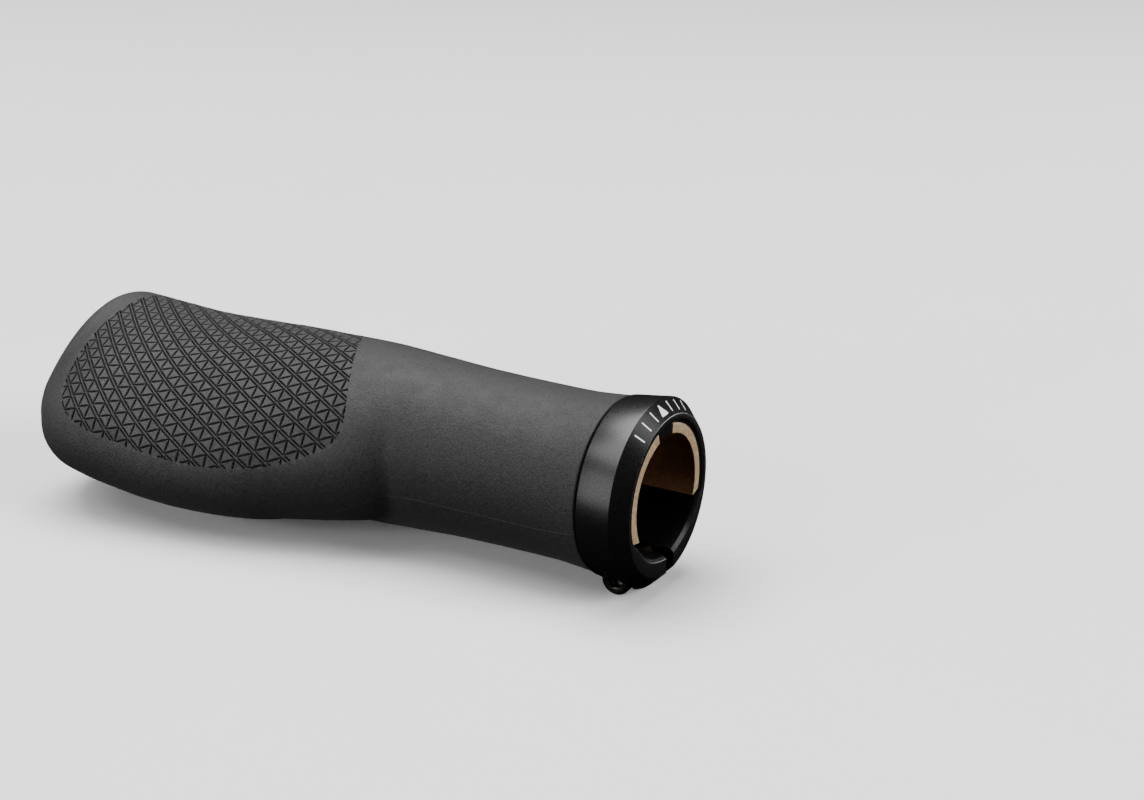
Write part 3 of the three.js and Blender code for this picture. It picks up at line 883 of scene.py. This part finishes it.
class SleeveMesh:
    """Gathers the sleeve's vertices, welded where they meet, and its faces."""

    window = (-20.0, 44.0)
    row_step = 0.8
    hidden_rows = 26
    column_step = 0.8
    wall_width = 0.12
    rim_step = 0.36
    even_columns = (3.1, sleeve_end - 1.2)
    last_columns = sleeve_end - np.array([1.0, 0.62, 0.4, 0.24, 0.12, 0.04, 0.0])
    lip = 0.4
    skin_gap = 0.35
    weld_digits = 4

    def __init__(self, sizes):
        self.sizes = sizes
        self.flat = []
        self.numbers = {}
        self.faces = []

    def number(self, x, around, height):
        name = tuple(round(value, self.weld_digits) for value in (x, around, height))
        if name not in self.numbers:
            self.numbers[name] = len(self.flat)
            self.flat.append((x, around, height))
        return self.numbers[name]

    def add_tread(self):
        """Adds the tread and the wall round it, and returns the loop at which it meets the plain skin."""
        edges = {}
        for polygon in Tread(self.sizes).polygons():
            face = [self.number(*p) for p in polygon]
            face = [n for k, n in enumerate(face) if n != face[k - 1]]
            if len(set(face)) < 3 or len(set(face)) < len(face):
                continue
            self.faces.append(face)
            for k, n in enumerate(face):
                edges[(face[k - 1], n)] = True
        loop = outline_loop([(b, a) for a, b in edges if (b, a) not in edges])
        rim = offset_outline(tread_limit(), self.wall_width, self.rim_step)
        rim = [self.number(*place, 0.0) for place in rim]
        self.fill_between(rim, loop)
        return rim

    def skin_grid(self):
        """Numbers of the plain skin's vertices, in rows along the bar and columns round the section."""
        low, high = self.window
        middle = np.arange(low, high + self.row_step / 2, self.row_step)
        columns = np.concatenate([
            Skin.end_places, np.arange(*self.even_columns, self.column_step), self.last_columns])
        drop = np.zeros(len(columns))
        close = columns > sleeve_end - self.lip
        into_lip = columns[close] - sleeve_end + self.lip
        drop[close] = self.lip - np.sqrt(np.maximum(self.lip ** 2 - into_lip ** 2, 0))
        grid = []
        for x, edge, down in zip(columns, skin.total(columns) / 2, drop):
            over = np.linspace(high, edge, self.hidden_rows + 1)[1:]
            under = np.linspace(-edge, low, self.hidden_rows + 1)[1:-1]
            grid.append([self.number(x, around, -down) for around in np.concatenate([under, middle, over])])
        return np.array(grid)

    def add_skin(self, loop):
        """Adds the plain skin round the tread's loop, and returns the numbers of its vertices."""
        grid = self.skin_grid()
        flat = np.array(self.flat)[:, :2]
        outline = flat[loop]
        spots = flat[grid.ravel()]
        near = inside(spots, outline)
        boxed = (spots > outline.min(axis=0) - 1).all(axis=1) & (spots < outline.max(axis=0) + 1).all(axis=1)
        for n in np.nonzero(boxed)[0]:
            near[n] |= np.linalg.norm(outline - spots[n], axis=1).min() < self.skin_gap
        near = near.reshape(grid.shape)
        near = near | np.roll(near, -1, axis=1)
        taken = without_pinches(near[:-1] | near[1:])
        edges = set()
        for (i, k), inner in np.ndenumerate(taken):
            n = (k + 1) % grid.shape[1]
            quad = (grid[i, k], grid[i, n], grid[i + 1, n], grid[i + 1, k])
            if inner:
                edges.update((quad[m - 1], quad[m]) for m in range(4))
            else:
                self.faces.append(quad)
        border = outline_loop([(a, b) for a, b in edges if (b, a) not in edges])
        self.fill_between(border, loop)
        return grid

    def fill_between(self, border, loop):
        """Joins an outer loop to an inner one with triangles."""
        numbers = list(border) + list(loop)
        flat = np.array(self.flat)[:, :2]
        places = [Vector(flat[n]) for n in numbers]
        first = len(border)
        rim = [(k, (k + 1) % first) for k in range(first)]
        rim += [(first + k, first + (k + 1) % len(loop)) for k in range(len(loop))]
        _, made_edges, triangles, sources, edge_sources, _ = delaunay_2d_cdt(places, rim, [], 0, 1e-9)
        walls = {}
        for edge, from_edges in zip(made_edges, edge_sources):
            if from_edges:
                walls[frozenset(edge)] = [from_edges[0] < first, from_edges[0] >= first]
        sides = {}
        for n, triangle in enumerate(triangles):
            for k in range(3):
                sides.setdefault(frozenset((triangle[k - 1], triangle[k])), []).append(n)
        state = {}
        queue = []
        for edge, beside in sides.items():
            if len(beside) == 1 and beside[0] not in state:
                state[beside[0]] = walls.get(edge, [False, False])
                queue.append(beside[0])
        while queue:
            here = queue.pop()
            triangle = triangles[here]
            for k in range(3):
                edge = frozenset((triangle[k - 1], triangle[k]))
                crossed = walls.get(edge, [False, False])
                for other in sides[edge]:
                    if other not in state:
                        state[other] = [state[here][m] != crossed[m] for m in range(2)]
                        queue.append(other)
        for n, triangle in enumerate(triangles):
            if state[n] == [True, False]:
                self.faces.append([numbers[sources[m][0]] for m in triangle])


def sleeve_rings(last, first):
    """Rings from the outboard face through the plug's recess and the bore, one point for each row of skin.

    The profile's first and last points only give its edges their direction.
    """
    edge, corner = 0.25, 0.15
    near = np.arctan2(first[:, 2], first[:, 1])
    turn = (np.arctan2(last[:, 2], last[:, 1]) - near + math.pi) % (2 * math.pi) - math.pi
    inner = rounded_profile(
        [(0, plug_recess_radius + 1.2), (0, plug_recess_radius), (plug_recess_depth, plug_recess_radius),
         (plug_recess_depth, sleeve_bore), (sleeve_end, sleeve_bore), (sleeve_end, sleeve_bore + 0.9)],
        [0, edge, corner, 0, edge, 0])
    rings = []
    for x, r in inner[1:-1]:
        share = min(max((x - plug_recess_depth) / (sleeve_end - plug_recess_depth), 0), 1)
        rings.append(ring_at(x, r, near + turn * share))
    return rings


def make_sleeve(sizes, material):
    mesh = SleeveMesh(sizes)
    grid = mesh.add_skin(mesh.add_tread())
    vertices = skin.points(*np.array(mesh.flat).T)
    rings = sleeve_rings(vertices[grid[-1]], vertices[grid[0]])
    rows = grid.shape[1]
    loops = [grid[0]]
    loops += [len(vertices) + k * rows + np.arange(rows) for k in range(len(rings))]
    loops.append(grid[-1])
    for before, here in zip(loops, loops[1:]):
        for m in range(rows):
            n = (m + 1) % rows
            mesh.faces.append((before[m], here[m], here[n], before[n]))
    return closed_piece("sleeve", np.concatenate([vertices, *rings]), mesh.faces, material, 32)


def make_mould_line(material):
    """A fine raised line where the halves of the mould met."""
    x = np.arange(mould_line[0][0], sleeve_end - mould_line_gap, mould_line_step)
    around = smooth_through(mould_line)(x)
    slope = np.gradient(around, x)
    stretch = np.sqrt(1 + slope ** 2)
    fade = np.clip((x - x[0]) / mould_line_fade, 0, 1)
    lines = []
    for beside, rise in mould_line_profile:
        if rise is None:
            lift = np.full(len(x), mould_line_foot)
        else:
            lift = rise * fade - mould_line_sunk * (1 - fade)
        lines.append(skin.points(x - beside * slope / stretch, around + beside / stretch, lift))
    return closed_piece("sleeve_mould_line", *strip(list(np.stack(lines, axis=1))), material, 60)


# Core tube, collar and marks share one turn about the bar
def clamp_angle(from_mark):
    return mark_angle + np.radians(from_mark)


wall_at = smooth_through(wall_stations)
mouth_at = smooth_through(mouth_stations)


def collar_profile(from_mark, edge):
    """Closed profile of the collar as (distance, radius) at an angle from its mark, with rounded edges."""
    a = abs(from_mark)
    wall = pad_radius if a <= key_half_angle else wall_at(a)
    mouth = mouth_at(a)
    pad_start, pad_end = mouth_stations[0][0], wall_stations[1][0]
    pad = np.clip((a - pad_start) / (pad_end - pad_start), 0, 1)
    points = [
        (collar_start, wall),
        (collar_start, rim_radius - flank_drop),
        (collar_end - rim_setback, rim_radius),
        (collar_end, rim_radius - face_setback),
        (collar_end, mouth),
        (collar_end - mouth_depth + pad_lip[0] * pad, mouth - pad_lip[1] * pad),
        (collar_end - mouth_depth - pad_wall_setback * pad, wall),
    ]
    return rounded_profile(points, edge * collar_rounding)


def collar_stations():
    """Angles from the mark, close together at the key's steps and where the pads begin."""
    key = key_half_angle
    pad_start, pad_end = mouth_stations[0][0], wall_stations[1][0]
    half = np.concatenate([
        np.arange(0, key - key_blend, key_spacing),
        [key - key_blend, key, key + key_jump],
        np.arange(key + after_key, pad_start, plain_spacing),
        np.arange(pad_start, pad_end + pad_run, pad_spacing),
        np.linspace(pad_end + pad_run + 1, 180, wall_rings),
    ])
    return np.concatenate([-half[:0:-1], half])


def make_collar(sizes, material):
    edge = sizes.edge_round / MM
    rings = []
    for station in collar_stations():
        distance, radius = np.array(collar_profile(station, edge)).T
        slit = np.degrees(np.arcsin(slit_width / 2 / radius))
        share = np.clip((abs(station) - slit_fade[0]) / (slit_fade[1] - slit_fade[0]), 0, 1)
        rings.append(ring_at(distance, radius, clamp_angle(station - np.sign(station) * slit * share)))
    piece = closed_piece("collar", *strip(rings), material)
    cut(piece, [
        screw_bar("pocket", screw_pocket_radius, -rim_radius * 2, -screw_seat),
        screw_bar("hole", screw_hole_radius, -screw_seat - 1, screw_hole_end),
    ])
    return rounded_edges(piece, edge * cut_edge_share, segments=2, least_angle=50, sharp=40)


def screw_frame(points):
    """Points of distance across the slit, and two distances from the screw's axis, in the part's frame."""
    points = np.asarray(points, float)
    middle = (collar_start + collar_end) / 2 - screw_inboard
    y, x, z = points[:, 0], middle + points[:, 1], points[:, 2] - screw_axis
    c, s = math.cos(mark_angle - math.pi / 2), math.sin(mark_angle - math.pi / 2)
    return np.stack([x, y * c - z * s, y * s + z * c], axis=1)


def screw_turned(name, profile, material, sides=48):
    """A piece turned about the screw's axis, from (distance across the slit, radius) points."""
    rings = [screw_frame(ring) for ring in turned_rings(profile, sides)]
    return closed_piece(name, *strip(rings), material)


def screw_bar(name, radius, start, end):
    return screw_turned(name, [(start, radius), (end, radius)], bpy.data.materials["collar_black_anodised"])


def make_screw(material):
    head = screw_under_head - screw_head_height
    tip = screw_under_head + screw_length
    rim, under_rim = (head, screw_head_radius), (screw_under_head, screw_head_radius)
    neck = (screw_under_head, screw_radius)
    profile = [(head + screw_head_dish, screw_head_radius - screw_head_flat)]
    profile += fillet((head, 0), rim, under_rim, screw_head_round, 6)
    profile += fillet(rim, under_rim, neck, screw_under_head_round, 3)
    profile += [neck]
    root = screw_radius - thread_depth
    y = screw_under_head + thread_start
    while y + thread_pitch < tip - thread_margin:
        profile += [(y, screw_radius)] + [(y + thread_pitch * share, root) for share in thread_root]
        y += thread_pitch
    profile += [(y, screw_radius)] + [(tip - back, screw_radius - drop) for back, drop in screw_tip]
    piece = screw_turned("clamp_screw_body", profile, material, 64)
    hex_radius = hex_across_flats / math.sqrt(3)
    socket = screw_turned("socket", [(head - 1, hex_radius), (head + hex_depth, hex_radius)], material, 6)
    cut(piece, [socket])
    return rounded_edges(piece, screw_edge_round, segments=2, least_angle=55, sharp=40)


def make_core(material, painted_shade_bore_material):
    """The core tube, with two fingers at its inboard end that the collar closes on."""
    tube = turned("core", [(core_start, core_bore), (core_start, core_radius), (core_end, core_radius),
                           (core_end, core_bore)], material, sides=180, closed=True)

    def wedge(name, outline, start):
        radius, angle = np.array(outline, float).T
        rings = [ring_at(x, radius, clamp_angle(angle)) for x in (start, core_end + 1)]
        return closed_piece(name, *strip(rings), material)

    far = core_radius * 2
    key = wedge("key_gap", [(0.5, 180), (far, finger_half_gap), (far, -finger_half_gap)],
                (sleeve_end + collar_start) / 2)
    over, under = finger_end_angle + finger_end_slant, finger_end_angle - finger_end_slant
    pad_side = [(core_bore - 2, over), (core_bore, over), (core_radius, under), (far, under)]
    other_side = [(radius, -angle) for radius, angle in pad_side[::-1]]
    pad = wedge("pad_gap", pad_side + [(far * 1.4, 180)] + other_side, core_end - finger_length)
    cut(tube, [key, pad])
    rounded_edges(tube, core_edge_round, segments=4, least_angle=40, sharp=45)
    # The bore's faces get a darker, warmer copy of the core's finish: painted shade inside the bore.
    tube.data.materials.append(painted_shade_bore_material)
    for face in tube.data.polygons:
        if abs(face.normal.x) < 0.5 and math.hypot(face.center.y, face.center.z) < (core_bore + 0.1) * MM:
            face.material_index = 1
    return tube


def make_marks(sizes, material):
    """Scale marks and a triangle on the collar's chamfer."""
    plate_rises = (-0.03, 0.02)
    chamfer_start = np.array([collar_end - rim_setback, rim_radius])
    chamfer_end = np.array([collar_end, rim_radius - face_setback])
    along = chamfer_end - chamfer_start
    normal = np.array([-along[1], along[0]]) / np.linalg.norm(along)

    def plate(outline, station):
        """The two faces of a thin plate over the chamfer, from (share of its slope, across) corners."""
        shares, across = np.array(outline).T
        layers = []
        for rise in plate_rises:
            x, r = (chamfer_start + np.outer(shares, along) + normal * rise).T
            layers.append(ring_at(x, r, mark_angle + station + across / r))
        return layers

    half = sizes.mark_width / MM / 2
    tick = [(0.2, -half), (0.2, half), (0.5, half), (0.78, half), (0.78, -half), (0.5, -half)]
    triangle = [(0.2, -0.1), (0.2, 0.1), (0.77, 1.1), (0.79, 0.6), (0.8, 0), (0.79, -0.6), (0.77, -1.1)]
    plates = [plate(triangle, 0)]
    plates += [plate(tick, k * sizes.mark_step) for k in (-3, -2, -1, 1, 2, 3)]
    vertices = []
    faces = []
    for layers in plates:
        points, sides = strip(layers)
        faces += [[len(vertices) + n for n in side] for side in sides]
        vertices += list(points)
    return closed_piece("collar_marks", vertices, faces, material, 30)


def make_plug(material):
    """A disc with a raised rim over a shallow dish, and the stem in the core's bore."""
    rim = plug_radius - plug_rim_width
    crown = []
    for t in np.linspace(0.02, math.pi / 2, plug_crown_rings):
        crown.append((plug_dish - plug_crown * math.cos(t) ** 2, (rim - plug_crown_inset) * math.sin(t)))
    disc = rounded_profile(
        [(plug_dish, rim - plug_rim_slope), (0, rim), (0, plug_radius), (plug_rim_depth, plug_radius),
         (plug_rim_depth, plug_stem_radius)],
        [0, 0.25, 0.4, 0.15, 0])
    stem = rounded_profile(
        [(plug_rim_depth, plug_stem_radius), (plug_depth, plug_stem_radius - plug_stem_taper),
         (plug_depth, axis_radius)],
        [0, 0.5, 0])
    return turned("plug", crown + disc + stem, material)


# Operators
class GRIP_OT_stage(Operator):
    """Add the pale floor, the soft lights and the camera"""
    bl_idname = "grip.stage"
    bl_label = "Studio"

    floor_reach = 40.0
    aim = Vector((0.06, 0, 0))

    def execute(self, context):
        scene = context.scene
        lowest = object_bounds()[0][2]
        mesh = bpy.data.meshes.new("floor")
        corners = [(-1, -1), (1, -1), (1, 1), (-1, 1)]
        mesh.from_pydata([(x * self.floor_reach, y * self.floor_reach, lowest) for x, y in corners],
                         [], [(0, 1, 2, 3)])
        mesh.materials.append(floor_material(scene.grip_colours))
        floor = bpy.data.objects.new("floor", mesh)
        scene.collection.objects.link(floor)
        floor.visible_diffuse = False
        floor.visible_glossy = False
        floor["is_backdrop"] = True
        world = bpy.data.worlds.new("studio")
        scene.world = world
        world.use_nodes = True
        background = world.node_tree.nodes["Background"]
        background.inputs["Color"].default_value = (1, 1, 1, 1)
        background.inputs["Strength"].default_value = 1.05
        world.cycles_visibility.diffuse = False
        world.cycles_visibility.glossy = False
        self.sky(scene, "overhead", (-0.25, 0.15, 0.92), math.radians(50), 4.2)
        self.light(scene, "upper_left", (-1.3, -1.1, 2.2), 1.7, 40)
        self.light(scene, "left_edge", (-1.8, -2.4, 0.5), 1.8, 26)
        self.light(scene, "right_edge", (1.9, 0.9, 1.75), 1.2, 11)
        self.light(scene, "low_back", (1.8, 2.5, 0.1), 1.2, 70, diffuse=False)
        self.light(scene, "right_fill", (2.5, 0.6, 1.1), 1.5, 85, glossy=False)
        self.light(scene, "front_fill", (-0.9, -2.7, 0.45), 1.8, 85, glossy=False)
        self.camera(scene)
        return {"FINISHED"}

    def sky(self, scene, name, place, spread, strength):
        """A wide soft light that is even over the whole floor."""
        data = bpy.data.lights.new(name, "SUN")
        data.angle = spread
        data.energy = strength
        self.lamp(scene, name, data, Vector(place))

    def lamp(self, scene, name, data, direction):
        """A lamp that shines along the line from a direction."""
        lamp = bpy.data.objects.new(name, data)
        lamp.rotation_euler = direction.to_track_quat("Z", "Y").to_euler()
        scene.collection.objects.link(lamp)
        return lamp

    def light(self, scene, name, place, size, power, glossy=True, diffuse=True):
        """A square light that faces the grip, and is seen in gloss or lights plain surfaces, or both."""
        data = bpy.data.lights.new(name, "AREA")
        data.size = size
        data.energy = power
        lamp = self.lamp(scene, name, data, Vector(place) - self.aim)
        lamp.location = place
        lamp.visible_camera = False
        lamp.visible_glossy = glossy
        lamp.visible_diffuse = diffuse

    def camera(self, scene):
        data = bpy.data.cameras.new("camera")
        data.sensor_width = 36
        data.lens = 48.43
        camera = bpy.data.objects.new("camera", data)
        camera.location = (0.24340, -0.22717, 0.09767)
        camera.rotation_euler = [math.radians(angle) for angle in (72.335, -1.254, 30.558)]
        scene.collection.objects.link(camera)
        scene.camera = camera


class GRIP_OT_sleeve(Operator):
    """Build the soft sleeve with its palm wing, tread and mould line"""
    bl_idname = "grip.sleeve"
    bl_label = "Sleeve"

    def execute(self, context):
        scene = context.scene
        material = rubber_material(scene.grip_colours, scene.grip_sleeve)
        dress(make_sleeve(scene.grip_sleeve, material), "rubber_sleeve")
        dress(make_mould_line(material), None)
        return {"FINISHED"}


class GRIP_OT_end_plug(Operator):
    """Build the plug that closes the outboard end"""
    bl_idname = "grip.end_plug"
    bl_label = "End plug"

    def execute(self, context):
        dress(make_plug(plug_material(context.scene.grip_colours)), "end_plug")
        return {"FINISHED"}


class GRIP_OT_core(Operator):
    """Build the hard core tube with its clamping fingers"""
    bl_idname = "grip.core"
    bl_label = "Core tube"

    def execute(self, context):
        colours = context.scene.grip_colours
        end = core_material("core_composite", colours.core, colours.core_fleck)
        # The bore's finish is the core's finish made darker and warmer, with slightly lighter flecks: painted
        # shade inside the bore.
        bore = core_material("core_composite_bore_painted_shade", colours.bore, scaled(colours.bore, 1.15))
        dress(make_core(end, bore), "core_tube")
        return {"FINISHED"}


class GRIP_OT_collar(Operator):
    """Build the slotted clamp collar and its scale marks"""
    bl_idname = "grip.collar"
    bl_label = "Clamp collar"

    def execute(self, context):
        scene = context.scene
        dress(make_collar(scene.grip_collar, collar_material(scene.grip_colours)), "clamp_collar")
        dress(make_marks(scene.grip_collar, marks_material(scene.grip_colours)), None)
        return {"FINISHED"}


class GRIP_OT_screw(Operator):
    """Build the socket screw that closes the collar"""
    bl_idname = "grip.screw"
    bl_label = "Clamp screw"

    def execute(self, context):
        dress(make_screw(screw_material(context.scene.grip_colours)), "clamp_screw")
        return {"FINISHED"}


class GRIP_PT_panel(Panel):
    """Lists the grip's pieces and sizes"""
    bl_idname = "GRIP_PT_panel"
    bl_label = "Handlebar Grip"
    bl_space_type = "VIEW_3D"
    bl_region_type = "UI"
    bl_category = "Grip"

    def draw(self, context):
        scene = context.scene
        for operator in piece_operators:
            self.layout.operator(operator.bl_idname)
        for group in (scene.grip_sleeve, scene.grip_collar, scene.grip_colours):
            column = self.layout.column(align=True)
            for name in group.bl_rna.properties.keys():
                if name not in ("rna_type", "name"):
                    column.prop(group, name)


piece_operators = (
    GRIP_OT_stage,
    GRIP_OT_sleeve,
    GRIP_OT_end_plug,
    GRIP_OT_core,
    GRIP_OT_collar,
    GRIP_OT_screw,
)
property_groups = {
    "grip_sleeve": GripSleeveSizes,
    "grip_collar": GripCollarSizes,
    "grip_colours": GripColours,
}


def register():
    for name, group in property_groups.items():
        bpy.utils.register_class(group)
        setattr(bpy.types.Scene, name, PointerProperty(type=group))
    for operator in piece_operators:
        bpy.utils.register_class(operator)
    bpy.utils.register_class(GRIP_PT_panel)


def unregister():
    bpy.utils.unregister_class(GRIP_PT_panel)
    for operator in reversed(piece_operators):
        bpy.utils.unregister_class(operator)
    for name, group in property_groups.items():
        delattr(bpy.types.Scene, name)
        bpy.utils.unregister_class(group)


def main():
    register()
    bpy.ops.grip.stage()
    bpy.ops.grip.sleeve()
    bpy.ops.grip.end_plug()
    bpy.ops.grip.core()
    bpy.ops.grip.collar()
    bpy.ops.grip.screw()


if __name__ == "__main__":
    main()
